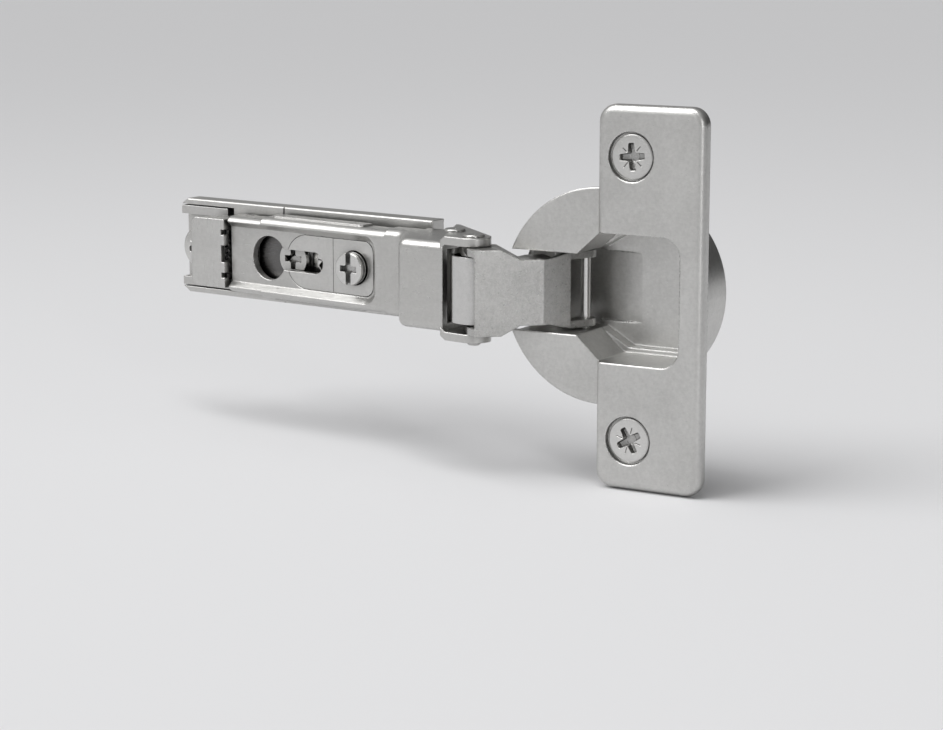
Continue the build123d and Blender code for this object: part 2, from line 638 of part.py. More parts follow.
def arm():
    """The whole hinge arm, folded from one sheet."""
    trunk = arm_segment(ARM_REAR_X, ARM_STEP_X, ARM_REAR_HALF)
    trunk += arm_segment(ARM_STEP_X, CRANK_X - 2, ARM_HALF)
    bulge = trough_outline(TROUGH_HALF + TROUGH_SHOULDER / 2, TROUGH_END_X + TROUGH_SHOULDER, TROUGH_CORNER_R)
    bulge_body = outward(bulge, ARM_SHEET + TROUGH_DEPTH, ARM_SHEET)
    inside = Pos((ARM_REAR_X + CRANK_X) / 2, 0) * Rectangle(CRANK_X - ARM_REAR_X, 2 * ARM_REAR_HALF)
    trunk += bulge_body & outward(inside, 2 * ARM_WALL_DEPTH, 0)
    shoulder = TROUGH_HALF + TROUGH_SHOULDER
    rim = trough_outline(shoulder, TROUGH_END_X + TROUGH_SHOULDER, TROUGH_CORNER_R + TROUGH_SHOULDER)
    floor = trough_outline(TROUGH_HALF, TROUGH_END_X, TROUGH_CORNER_R)
    rim_face = Plane.XZ * rim
    floor_face = Plane.XZ.offset(-TROUGH_DEPTH) * floor
    trunk -= loft([rim_face.face(), floor_face.face()])
    trunk -= outward(keyhole(), 2 * ARM_WALL_DEPTH, -ARM_SHEET)
    window = adjuster_outline(INLAY_PLAY) + tab_outline(INLAY_PLAY)
    trunk -= outward(window, 2 * ARM_WALL_DEPTH, -ARM_SHEET)
    pad_mid = (PAD_REAR_X + PAD_FRONT_X) / 2
    pad_depth = ARM_WALL_DEPTH - ARM_EDGE_R
    pad = Pos(pad_mid, ARM_WALL_DEPTH - pad_depth / 2) * Rectangle(PAD_FRONT_X - PAD_REAR_X, pad_depth)
    pad = fillet(pad.vertices().group_by(Axis.Y)[0], pad_depth / 3)
    trunk += both_sides(across(pad, ARM_HALF - PAD_RISE, ARM_HALF + PAD_RISE))
    body = ARM_FRAME * trunk
    tilt_centre = Vector(TILT_PIN_X, TILT_PIN_Y)
    body += both_sides(across(disc(tilt_centre, TILT_LOBE_R), ARM_REAR_HALF - ARM_SHEET, ARM_REAR_HALF))
    body -= pin_along_z(tilt_centre, TILT_PIN_R + PIN_PLAY, -PLATE_HALF, PLATE_HALF)
    body += nose()
    for centre in (OUTER_PIN, INNER_PIN):
        body -= pin_along_z(centre, ARM_PIN_R + PIN_PLAY, -2 * NOSE_HALF, 2 * NOSE_HALF)
    return body


def adjuster_plate():
    """Inlay behind the keyhole slot, flush with the trough's floor."""
    plate = outward(adjuster_outline(0), TROUGH_DEPTH + ARM_SHEET, TROUGH_DEPTH)
    plate -= outward(keyhole(), 2 * ARM_WALL_DEPTH, 0)
    trim = Pos(INLAY_SEAM_X, 0) * Rectangle(2 * INLAY_PLAY, 4 * INLAY_HALF)
    return ARM_FRAME * (plate - outward(trim, 2 * ARM_WALL_DEPTH, 0))


def side_adjust_tab():
    """Inlay that the side adjusting screw passes through."""
    tab = outward(tab_outline(0), TROUGH_DEPTH + ARM_SHEET, TROUGH_DEPTH)
    tab = ARM_FRAME * tab
    bore = Pos(SIDE_SCREW_X, 0) * Circle(SIDE_SCREW_R + SCREW_PLAY)
    return tab - outward(bore, 0, 3 * ARM_FACE_Y)


def tilt_pin():
    return pin_along_z(Vector(TILT_PIN_X, TILT_PIN_Y), TILT_PIN_R, -ARM_REAR_HALF, ARM_REAR_HALF)


def side_adjust_screw():
    """Threaded body in the tab, a neck held in the guide's web and a spread foot behind it."""
    tab_y = (ARM_FRAME * Pos(SIDE_SCREW_X, TROUGH_DEPTH, 0)).position.Y
    face_y = tab_y - SIDE_SCREW_PROUD
    seat_y = WEB_FACE_Y - SLIDE_PLAY / 2
    place = Pos(SIDE_SCREW_X, 0)
    body = outward(place * Circle(SIDE_SCREW_R), seat_y, face_y)
    body = fillet(body.faces().sort_by(Axis.Y)[0].edges(), SIDE_SCREW_THREAD / 2)
    groove = place * (Circle(2 * SIDE_SCREW_R) - Circle(SIDE_SCREW_R - SIDE_SCREW_THREAD / 2))
    grooves = int(SIDE_SCREW_PROUD / (2 * SIDE_SCREW_THREAD))
    for turn in range(grooves):
        front = face_y + (2 * turn + 1.4) * SIDE_SCREW_THREAD
        body -= outward(groove, front + SIDE_SCREW_THREAD, front)
    web_back = WEB_FACE_Y + GUIDE_SHEET + SLIDE_PLAY / 2
    body += outward(place * Circle(SIDE_SCREW_NECK_R), web_back, seat_y)
    body += outward(place * Circle(SIDE_SCREW_FOOT_R), -PLATE_THICK - SLIDE_PLAY, web_back)
    slots = Rectangle(3 * SIDE_SCREW_R, RECESS_W) + Rectangle(RECESS_W, SIDE_SCREW_R * 2 * RECESS_REACH)
    recess = outward(place * Rot(0, 0, 90) * (slots + recess_middle()), face_y + RECESS_DEPTH, 2 * face_y)
    return body - recess


def arm_pin(centre):
    """Riveted pin: low domed head above, a plain tail below."""
    head_seat = CHEEK_OUTER_HALF
    shaft = pin_along_z(centre, ARM_PIN_R, -CHEEK_OUTER_HALF - ARM_PIN_TAIL, head_seat)
    shaft = chamfer(shaft.faces().sort_by(Axis.Z)[0].edges(), ARM_PIN_R / 5)
    head = pin_along_z(centre, ARM_PIN_HEAD_R, head_seat, head_seat + ARM_PIN_HEAD_H)
    head = fillet(head.faces().sort_by(Axis.Z)[-1].edges(), ARM_PIN_DOME_R)
    dimple = Pos(centre.X, centre.Y, head_seat + ARM_PIN_HEAD_H) * Sphere(ARM_PIN_HEAD_H / 2)
    return shaft + head - dimple


def flattened_disc(radius, flat):
    """A disc cut off at a distance outward from its centre."""
    keep = Pos(0, radius) * Rectangle(3 * radius, 2 * (radius + flat))
    return Circle(radius) & keep


def spring_sleeve():
    """Curved shield in front of the closing spring, flattened to clear the cup when it shuts."""
    ring = flattened_disc(SLEEVE_R, SLEEVE_FLAT)
    ring -= flattened_disc(SLEEVE_R - SLEEVE_WALL, SLEEVE_FLAT - SLEEVE_WALL)
    reach = 3 * SLEEVE_R
    sector = [(0, 0)]
    for share in (0, 0.25, 0.5, 0.75, 1):
        angle = radians(SLEEVE_FROM + share * (SLEEVE_TO - SLEEVE_FROM))
        sector.append((reach * cos(angle), reach * sin(angle)))
    return across(Pos(OUTER_PIN_X, OUTER_PIN_Y) * (ring & outline_of(*sector)), -SLEEVE_HALF, SLEEVE_HALF)


def closing_spring():
    """Torsion spring wound on the outer link's arm pin."""
    height = 2 * (SPRING_HALF - SPRING_WIRE_R)
    path = Helix(pitch=SPRING_PITCH, height=height, radius=SPRING_R)
    start = Plane(origin=path @ 0, z_dir=path % 0)
    coil = sweep(start * Circle(SPRING_WIRE_R), path=path)
    return Pos(OUTER_PIN_X, OUTER_PIN_Y, -height / 2) * coil


# ---------------------------------------------------------------- the two links


def outer_link():
    """Folded link: a web outward, eyes on the arm pin, and arms that flare to the cup pin."""
    web_line = [(LINK_WEB_START, -LINK_WEB_Y), (LINK_BEND, -LINK_BEND_Y), (LINK_TIP, -LINK_TIP_Y)]
    bend = degrees(atan2(LINK_BEND_Y - LINK_TIP_Y, LINK_TIP - LINK_BEND))
    inner_tip = (LINK_TIP - LINK_SHEET * sin(radians(bend)), LINK_SHEET * cos(radians(bend)) - LINK_TIP_Y)
    inner_bend = (LINK_BEND - LINK_SHEET * sin(radians(bend / 2)), LINK_SHEET - LINK_BEND_Y)
    web = outline_of(*web_line, inner_tip, inner_bend, (LINK_WEB_START, LINK_SHEET - LINK_WEB_Y))
    plan = outline_of(
        (LINK_WEB_START - 1, -LINK_HALF),
        (LINK_SHOULDER, -LINK_HALF),
        (LINK_WAIST, -LINK_WAIST_HALF),
        (LINK_BEND + 1, -LINK_WAIST_HALF),
        (LINK_TIP, -LINK_CUP_HALF),
        (LINK_LENGTH + LINK_EYE_R, -LINK_CUP_HALF),
        (LINK_LENGTH + LINK_EYE_R, LINK_CUP_HALF),
        (LINK_TIP, LINK_CUP_HALF),
        (LINK_BEND + 1, LINK_WAIST_HALF),
        (LINK_WAIST, LINK_WAIST_HALF),
        (LINK_SHOULDER, LINK_HALF),
        (LINK_WEB_START - 1, LINK_HALF),
    )
    hollow = outline_of(
        (-2 * LINK_EYE_R, LINK_SHEET - LINK_HALF),
        (LINK_SHOULDER, LINK_SHEET - LINK_HALF),
        (LINK_WAIST, LINK_SHEET - LINK_WAIST_HALF),
        (LINK_BEND + 1, LINK_SHEET - LINK_WAIST_HALF),
        (LINK_TIP, LINK_SHEET - LINK_CUP_HALF),
        (LINK_LENGTH + 2 * LINK_EYE_R, LINK_SHEET - LINK_CUP_HALF),
        (LINK_LENGTH + 2 * LINK_EYE_R, LINK_CUP_HALF - LINK_SHEET),
        (LINK_TIP, LINK_CUP_HALF - LINK_SHEET),
        (LINK_BEND + 1, LINK_WAIST_HALF - LINK_SHEET),
        (LINK_WAIST, LINK_WAIST_HALF - LINK_SHEET),
        (LINK_SHOULDER, LINK_HALF - LINK_SHEET),
        (-2 * LINK_EYE_R, LINK_HALF - LINK_SHEET),
    )
    door_edge = in_link(-DOOR_EDGE_S, -DOOR_PLAY)
    bore_s = (CUP_R ** 2 - LINK_WAIST_HALF ** 2) ** 0.5
    cup_lip = in_link(DOOR_PLAY - bore_s, -DOOR_PLAY)
    back_edge = [
        (LINK_BEND + LINK_BACK_RUN, LINK_SHEET - LINK_BEND_Y),
        (LINK_BEND + LINK_BACK_RUN / 2, LINK_EYE_R / 2),
        (LINK_WAIST + LINK_BACK_RUN, LINK_EYE_R / 3),
        (cup_lip.X, cup_lip.Y),
        (door_edge.X, door_edge.Y),
        (0, LINK_EYE_R),
    ]
    ear = outline_of(*web_line[:2], *back_edge, (-LINK_EYE_R, 0)) + Circle(LINK_EYE_R)
    neck = make_hull((Pos(LINK_LENGTH, 0) * Circle(LINK_CUP_EYE_R)).edges() + web_tip(inner_tip).edges())
    body = across(ear + neck + web, -LINK_HALF, LINK_HALF)
    body &= outward(plan, 2 * LINK_LENGTH, -2 * LINK_LENGTH)
    inside = across(Rectangle(8 * LINK_LENGTH, 8 * LINK_LENGTH), -LINK_HALF, LINK_HALF)
    inside &= outward(hollow, 2 * LINK_LENGTH, -2 * LINK_LENGTH)
    body -= inside - across(web, -LINK_HALF, LINK_HALF)
    body -= pin_along_z(Vector(0, 0), ARM_PIN_R + PIN_PLAY, -LINK_HALF, LINK_HALF)
    body -= pin_along_z(Vector(LINK_LENGTH, 0), CUP_PIN_R + PIN_PLAY, -LINK_HALF, LINK_HALF)
    return LINK_FRAME * body


def in_link(along, inward):
    """A place given from the cup's centre, along the door and into it, in the outer link's frame."""
    place = CUP_CENTRE + ALONG * along + INWARD * inward - OUTER_PIN
    return place.rotate(Axis.Z, -LINK_ANGLE)


def web_tip(inner_tip):
    """The end of the web that the cup arms grow from."""
    return outline_of((LINK_TIP - 0.8, -LINK_TIP_Y - 0.3), (LINK_TIP, -LINK_TIP_Y), inner_tip)


def inner_link():
    """Inner link, bowed round the door's edge, with the short pin's hole at its cup end."""
    stations = [INNER_PIN]
    for along, inward in (BOW_NEAR, BOW_EDGE, BOW_LIP):
        stations.append(CUP_CENTRE + ALONG * along + INWARD * inward)
    stations.append(SHORT_PIN)
    eye = disc(INNER_PIN, INNER_EYE_R)
    body = eye + disc(SHORT_PIN, INNER_TIP_R)
    for near, far in zip(stations[:-1], stations[1:]):
        pair = disc(near, INNER_BODY_HALF) + disc(far, INNER_BODY_HALF)
        body += make_hull(pair.edges())
    wide_half = NOSE_HALF - ARM_SHEET - SLIDE_PLAY
    solid = across(body, -INNER_HALF, INNER_HALF) + across(eye, -wide_half, wide_half)
    solid -= pin_along_z(INNER_PIN, ARM_PIN_R + PIN_PLAY, -wide_half, wide_half)
    return solid - pin_along_z(SHORT_PIN, SHORT_PIN_R, -wide_half, wide_half)


def short_pin():
    half = LINK_CUP_HALF - LINK_SHEET - 2 * SLIDE_PLAY
    return pin_along_z(SHORT_PIN, SHORT_PIN_R, -half, half)


# ---------------------------------------------------------------- the cup and what it carries


def pocket_outline(shrink):
    """The cup's opening seen from the front: narrow mouth, slanted throat and wide pocket."""
    mouth = MOUTH_HALF
    half = POCKET_HALF - shrink
    face = outline_of(
        (MOUTH_CORNER_S, mouth),
        (POCKET_CORNER_S + shrink, half),
        (POCKET_END_S - shrink, half),
        (POCKET_END_S - shrink, -half),
        (POCKET_CORNER_S + shrink, -half),
        (MOUTH_CORNER_S, -mouth),
    )
    return fillet(face.vertices().group_by(Axis.X)[-1], POCKET_CORNER_R)


def sunk(outline, depth, top):
    """A cut from above the cup's face down to a depth below the door's face."""
    return Pos(0, 0, -depth) * extrude(outline, amount=depth + top)


def cup():
    """Die-cast cup: round body in the door, thin rim, and the screw flange over its right half."""
    body = Cylinder(CUP_R, CUP_DEPTH, align=(Align.CENTER, Align.CENTER, Align.MAX))
    body = chamfer(body.faces().sort_by(Axis.Z)[0].edges(), 1)
    body += Cylinder(RIM_R, RIM_PROUD, align=(Align.CENTER, Align.CENTER, Align.MIN))
    flange_mid = (FLANGE_LEFT + FLANGE_RIGHT) / 2
    plate = Pos(flange_mid, 0) * RectangleRounded(FLANGE_RIGHT - FLANGE_LEFT, FLANGE_LENGTH, FLANGE_CORNER_R)
    flange = extrude(plate, amount=FLANGE_PROUD)
    flange = fillet(flange.faces().sort_by(Axis.Z)[-1].edges(), FLANGE_EDGE_R)
    body += flange
    body -= sunk(pocket_outline(0), POCKET_LEDGE_DEPTH, 2 * FLANGE_PROUD)
    body -= sunk(pocket_outline(POCKET_LEDGE_W), FLOOR_DEPTH, 0)
    inside_s = RIM_R + 1
    channel_length = inside_s + MOUTH_CORNER_S + POCKET_LEDGE_W
    channel = Pos(channel_length / 2 - inside_s, 0) * Rectangle(channel_length, 2 * MOUTH_HALF)
    body -= sunk(channel, MOUTH_LIP_DEPTH, 2 * FLANGE_PROUD)
    shaft_start = MOUTH_LIP_WALL - CUP_R
    shaft_length = WELL_EDGE_S - shaft_start
    shaft = Pos(shaft_start + shaft_length / 2, 0) * Rectangle(shaft_length, 2 * MOUTH_HALF)
    well_half = MOUTH_HALF - 0.01
    well = Pos(shaft_start + shaft_length / 2, 0) * Rectangle(shaft_length, 2 * well_half)
    body -= sunk(shaft, FLOOR_DEPTH, 0)
    body -= sunk(well, WELL_DEPTH, 0)
    throat = Pos((WELL_EDGE_S + MOUTH_CORNER_S) / 2 + 1, 0) * Rectangle(6, 2 * MOUTH_HALF)
    body -= sunk(throat, FLOOR_DEPTH, 0)
    ramp = outline_of(
        (WELL_EDGE_S - 1, 1 - FLOOR_DEPTH),
        (WELL_EDGE_S - 1, -WELL_DEPTH),
        (WELL_EDGE_S, -WELL_DEPTH),
        (WELL_FADE_S, -FLOOR_DEPTH),
        (WELL_FADE_S, 1 - FLOOR_DEPTH),
    )
    body -= extrude(Plane.XZ * ramp, amount=WELL_HALF, both=True)
    for side in (-1, 1):
        place = Pos(CUP_SCREW_S, side * CUP_SCREW_SPACING / 2, 0)
        body -= place * Cylinder(CUP_SCREW_SHANK_R + SCREW_PLAY, 6 * FLANGE_PROUD)
        seat = Cylinder(CUP_SEAT_R, CUP_SEAT_DEPTH, align=(Align.CENTER, Align.CENTER, Align.MIN))
        body -= place * Pos(0, 0, FLANGE_PROUD - CUP_SEAT_DEPTH) * seat
        cone = Cone(
            CUP_SCREW_SHANK_R + SCREW_PLAY,
            CUP_SCREW_HEAD_R,
            CUP_SCREW_CONE,
            align=(Align.CENTER, Align.CENTER, Align.MAX),
        )
        body -= place * Pos(0, 0, FLANGE_PROUD - CUP_SEAT_DEPTH) * cone
    pin_half = MOUTH_HALF + CUP_PIN_BITE
    bore = Pos(CUP_PIN_S, 0, -CUP_PIN_DEPTH) * Rot(90, 0, 0) * Cylinder(CUP_PIN_R, 2 * pin_half)
    return CUP_FRAME * (body - bore)


def cup_pin():
    half = MOUTH_HALF + CUP_PIN_BITE
    return pin_along_z(CUP_PIN, CUP_PIN_R, -half, half)


def cup_screw():
    """Countersunk wood screw with its head's front face at Z = 0."""
    rim = Cylinder(CUP_SCREW_HEAD_R, CUP_SCREW_RIM, align=(Align.CENTER, Align.CENTER, Align.MAX))
    cone = Pos(0, 0, -CUP_SCREW_RIM) * Cone(
        CUP_SCREW_SHANK_R,
        CUP_SCREW_HEAD_R - SCREW_PLAY,
        CUP_SCREW_CONE,
        align=(Align.CENTER, Align.CENTER, Align.MAX),
    )
    shank = pointed_shank(CUP_SCREW_SHANK_R, CUP_SCREW_FACE, CUP_SCREW_FACE + CUP_SCREW_REACH)
    return rim + cone + shank - cross_recess(CUP_SCREW_HEAD_R, RECESS_DEPTH)


def cup_screws():
    """The two door screws in the flange."""
    screws = []
    for side, turn in ((1, UPPER_SCREW_TURN), (-1, LOWER_SCREW_TURN)):
        place = Pos(CUP_SCREW_S, side * CUP_SCREW_SPACING / 2, CUP_SCREW_FACE)
        screws.append(CUP_FRAME * place * Rot(0, 0, turn) * cup_screw())
    return Compound(screws)


PIECES = {
    "mounting_plate": mounting_plate(),
    "plate_screws": plate_screws(),
    "depth_cam": depth_cam(),
    "plate_slider": plate_slider(),
    "guide_channel": guide_channel(),
    "lever_pin": lever_pin(),
    "lever_spring": lever_spring(),
    "release_lever": release_lever(),
    "arm": arm(),
    "adjuster_plate": adjuster_plate(),
    "side_adjust_tab": side_adjust_tab(),
    "tilt_pin": tilt_pin(),
    "side_adjust_screw": side_adjust_screw(),
    "outer_arm_pin": arm_pin(OUTER_PIN),
    "inner_arm_pin": arm_pin(INNER_PIN),
    "spring_sleeve": spring_sleeve(),
    "closing_spring": closing_spring(),
    "outer_link": outer_link(),
    "inner_link": inner_link(),
    "inner_link_pin": short_pin(),
    "cup": cup(),
    "cup_pin": cup_pin(),
    "cup_screws": cup_screws(),
}

for node, solid in PIECES.items():
    export_step(solid, f"parts/{node}.step")
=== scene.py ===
import math

import bpy
import numpy as np
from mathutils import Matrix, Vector


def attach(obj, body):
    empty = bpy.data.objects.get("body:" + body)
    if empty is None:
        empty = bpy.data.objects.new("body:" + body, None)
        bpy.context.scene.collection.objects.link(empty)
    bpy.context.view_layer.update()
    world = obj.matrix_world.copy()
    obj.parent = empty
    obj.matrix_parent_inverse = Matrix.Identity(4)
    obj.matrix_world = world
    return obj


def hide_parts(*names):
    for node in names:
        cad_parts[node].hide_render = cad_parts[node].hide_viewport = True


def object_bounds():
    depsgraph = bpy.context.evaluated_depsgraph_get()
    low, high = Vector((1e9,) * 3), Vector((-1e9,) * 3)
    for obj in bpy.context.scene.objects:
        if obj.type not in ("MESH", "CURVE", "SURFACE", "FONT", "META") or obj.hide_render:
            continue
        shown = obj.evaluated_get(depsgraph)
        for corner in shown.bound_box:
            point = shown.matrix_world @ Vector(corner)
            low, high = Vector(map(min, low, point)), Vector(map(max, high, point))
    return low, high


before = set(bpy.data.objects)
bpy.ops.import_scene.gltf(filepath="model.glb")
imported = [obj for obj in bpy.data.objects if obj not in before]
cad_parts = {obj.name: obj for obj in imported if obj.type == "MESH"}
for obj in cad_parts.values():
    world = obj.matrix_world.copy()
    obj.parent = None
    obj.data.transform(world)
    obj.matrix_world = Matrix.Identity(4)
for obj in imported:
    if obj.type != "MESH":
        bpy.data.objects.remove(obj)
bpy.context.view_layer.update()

# ---- Mounting plate
# A die-cast zinc bar, satin nickel plated, screwed to the cabinet's side panel. The casting skin is
# very slightly pebbled; its edges are lightened with a painted highlight and its nooks darkened with painted
# shade.

# noise scales per metre, the directions of the fine scratches, and bump heights in metres
GRAIN_SCALE, CLOUD_SCALE, SKIN_SCALE, HAIR_SCALE = 2600.0, 90.0, 1500.0, 520.0
HAIR_SLANTS = ((0.0, 0.6, 0.2), (0.3, 2.0, 0.7), (0.1, -0.5, 1.1))
HAIR_STRETCH = (1.0, 16.0, 16.0)
GRAIN_HEIGHT, SKIN_HEIGHT, SCRATCH_HEIGHT = 0.00004, 0.00008, 0.00002
SKIN_SHARE = 0.4
# colour of the painted edge highlight and scratches, and of the painted shade, as shares of the tone, how
# far a nook is felt, rays for both
SHEEN_AND_SCRATCH_GAIN, PAINTED_SHADE_GAIN = 1.35, 0.10
NOOK_REACH = 0.0022
SHADER_RAYS = 6


def satin_metal(name, tone, rough, grain, edge_mm, edge_sheen=0.35, pebble=0.0, scratch=0.15, shade=0.06,
                painted_shade=0.7, grain_bump=0.12, slit_painted_shade=0.96):
    """Plated metal as nodes. Colour is tone times a cloudy noise. It is lighter along scratches, and lighter
    along rounded edges where the rounded normal turns away from the face's own, which is a painted
    highlight. It is dark in narrow nooks and slits, which is painted shade. Roughness follows a noise
    stretched along the grain, and the bump adds grain, scratches and casting pebbles. grain is how the noise
    is stretched along X, Y, Z; shade is how far the clouds go either way of the tone; painted_shade and
    slit_painted_shade set how dark the painted shade gets in nooks and in slits; edge_sheen sets how strong
    the painted edge highlight is."""
    m = bpy.data.materials.new(name)
    m.use_nodes = True
    nodes, links = m.node_tree.nodes, m.node_tree.links
    nodes.clear()

    def add(kind, inputs=(), **settings):
        n = nodes.new(kind)
        for key, value in settings.items():
            setattr(n, key, value)
        for key, value in dict(inputs).items():
            if isinstance(value, bpy.types.NodeSocket):
                links.new(value, n.inputs[key])
            else:
                n.inputs[key].default_value = value
        return n

    out = add("ShaderNodeOutputMaterial")
    metal = add("ShaderNodeBsdfPrincipled", {"Metallic": 1.0, "Specular Tint": (1, 1, 1, 1)})
    links.new(metal.outputs[0], out.inputs["Surface"])
    place = add("ShaderNodeTexCoord").outputs["Object"]
    along = add("ShaderNodeMapping", {"Vector": place, "Scale": grain}).outputs[0]
    lines = add("ShaderNodeTexNoise", {"Vector": along, "Scale": GRAIN_SCALE, "Detail": 4.0,
                                       "Roughness": 0.6})
    cloud = add("ShaderNodeTexNoise", {"Vector": place, "Scale": CLOUD_SCALE, "Detail": 5.0,
                                       "Roughness": 0.65})
    skin = add("ShaderNodeTexNoise", {"Vector": place, "Scale": SKIN_SCALE, "Detail": 3.0, "Roughness": 0.7})
    cut = None
    for slant in HAIR_SLANTS:
        tilt = add("ShaderNodeMapping", {"Vector": place, "Rotation": slant, "Scale": HAIR_STRETCH})
        hair = add("ShaderNodeTexNoise", {"Vector": tilt.outputs[0], "Scale": HAIR_SCALE, "Detail": 1.0})
        line = add("ShaderNodeMapRange", {"Value": hair.outputs[0], "From Min": 0.63, "From Max": 0.68})
        if cut is None:
            cut = line
        else:
            both = {0: cut.outputs[0], 1: line.outputs[0]}
            cut = add("ShaderNodeMath", both, operation="MAXIMUM")
    rounded = add("ShaderNodeBevel", {"Radius": edge_mm / 1000}, samples=SHADER_RAYS)
    flat = add("ShaderNodeNewGeometry")
    turned = add("ShaderNodeVectorMath", operation="DOT_PRODUCT")
    links.new(rounded.outputs[0], turned.inputs[0])
    links.new(flat.outputs["True Normal"], turned.inputs[1])
    # painted highlight: the colour is lifted where the bevel's rounded normal turns from the true normal;
    # scratches are lifted too
    edge_sheen_mask = add("ShaderNodeMapRange", {"Value": turned.outputs["Value"], "From Min": 0.985, "From Max": 0.80,
                                     "To Max": edge_sheen})
    dark = [c * (1 - shade) for c in tone] + [1]
    light = [min(1, c * (1 + shade)) for c in tone] + [1]
    mixed = add("ShaderNodeMath", {0: cloud.outputs[0], 1: skin.outputs[0]}, operation="ADD")
    patch = add("ShaderNodeMapRange", {"Value": mixed.outputs[0], "From Min": 0.75, "From Max": 1.25})
    body = add("ShaderNodeMix", data_type="RGBA")
    links.new(patch.outputs[0], body.inputs["Factor"])
    body.inputs[6].default_value, body.inputs[7].default_value = dark, light
    mark = add("ShaderNodeMath", {0: cut.outputs[0], 1: scratch * 0.6}, operation="MULTIPLY")
    sheen_and_scratch_mask = add("ShaderNodeMath", {0: edge_sheen_mask.outputs[0], 1: mark.outputs[0]}, operation="MAXIMUM")
    edge = add("ShaderNodeMix", data_type="RGBA")
    links.new(sheen_and_scratch_mask.outputs[0], edge.inputs["Factor"])
    links.new(body.outputs[2], edge.inputs[6])
    edge.inputs[7].default_value = [min(1, c * SHEEN_AND_SCRATCH_GAIN) for c in tone] + [1]
    # painted shade: ambient occlusion darkens the colour in nooks, and to near black in slits
    nook = add("ShaderNodeAmbientOcclusion", {"Distance": NOOK_REACH}, samples=SHADER_RAYS)
    painted_shade_mask = add("ShaderNodeMapRange", {"Value": nook.outputs["AO"], "From Min": 0.25, "From Max": 0.9,
                                      "To Min": painted_shade, "To Max": 0.0})
    slit_shade_mask = add("ShaderNodeMapRange", {"Value": nook.outputs["AO"], "From Min": 0.14, "From Max": 0.42,
                                      "To Min": slit_painted_shade, "To Max": 0.0})
    depth = add("ShaderNodeMath", {0: painted_shade_mask.outputs[0], 1: slit_shade_mask.outputs[0]}, operation="MAXIMUM")
    shaded_colour = add("ShaderNodeMix", data_type="RGBA")
    links.new(depth.outputs[0], shaded_colour.inputs["Factor"])
    links.new(edge.outputs[2], shaded_colour.inputs[6])
    shaded_colour.inputs[7].default_value = [c * PAINTED_SHADE_GAIN for c in tone] + [1]
    links.new(shaded_colour.outputs[2], metal.inputs["Base Color"])
    gloss = add("ShaderNodeMapRange", {"Value": lines.outputs[0], "From Min": 0.25, "From Max": 0.75,
                                       "To Min": rough * 0.78, "To Max": rough * 1.2})
    keen = add("ShaderNodeMath", {0: edge_sheen_mask.outputs[0], 1: -0.3 * rough}, operation="MULTIPLY")
    total = add("ShaderNodeMath", {0: gloss.outputs[0], 1: keen.outputs[0]}, operation="ADD")
    links.new(total.outputs[0], metal.inputs["Roughness"])
    fine = add("ShaderNodeBump", {"Strength": grain_bump, "Distance": GRAIN_HEIGHT,
                                  "Height": lines.outputs[0], "Normal": rounded.outputs[0]})
    cast = add("ShaderNodeBump", {"Strength": grain_bump * SKIN_SHARE + pebble, "Distance": SKIN_HEIGHT,
                                  "Height": skin.outputs[0], "Normal": fine.outputs[0]})
    score = add("ShaderNodeBump", {"Strength": scratch, "Distance": SCRATCH_HEIGHT, "Height": cut.outputs[0],
                                   "Normal": cast.outputs[0]}, invert=True)
    links.new(score.outputs[0], metal.inputs["Normal"])
    return m


def dress(node, material):
    """Gives a CAD node this one material."""
    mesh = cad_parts[node].data
    mesh.materials.clear()
    mesh.materials.append(material)


NICKEL = (0.57, 0.565, 0.55)
dress("mounting_plate", satin_metal("cast_nickel_plate", NICKEL, 0.36, (0.2, 1, 1), 0.25, pebble=0.10))

# ---- Cabinet screws
# Zinc plated wood screws with pan heads and crosshead recesses, driven through the plate. Their
# stamped heads are polished, and the recess is darker than the head through painted shade.


def screw_profile(head_r, head_h, edge_r, shank_r, length, seat=0.0):
    """Half outline of a screw below its head's face: rim, underside, threaded shank and point.
    Along the shank the radius is a triangle wave, crest to root once every pitch."""
    pitch = 1.6
    thread = np.arange(seat + 1.2, length - 3.0, pitch / 6)
    wave = np.abs(((thread / pitch) % 1.0) - 0.5) * 2
    rows = [(head_r, -edge_r), (head_r, -head_h + 0.05), (head_r - 0.1, -head_h), (shank_r, -seat)]
    rows += [(shank_r * (0.80 + 0.20 * w), -t) for t, w in zip(thread, wave)]
    rows += [(shank_r * 0.75, 3.0 - length), (shank_r * 0.2, -length), (0.0, -length - 0.4)]
    return np.array(rows)


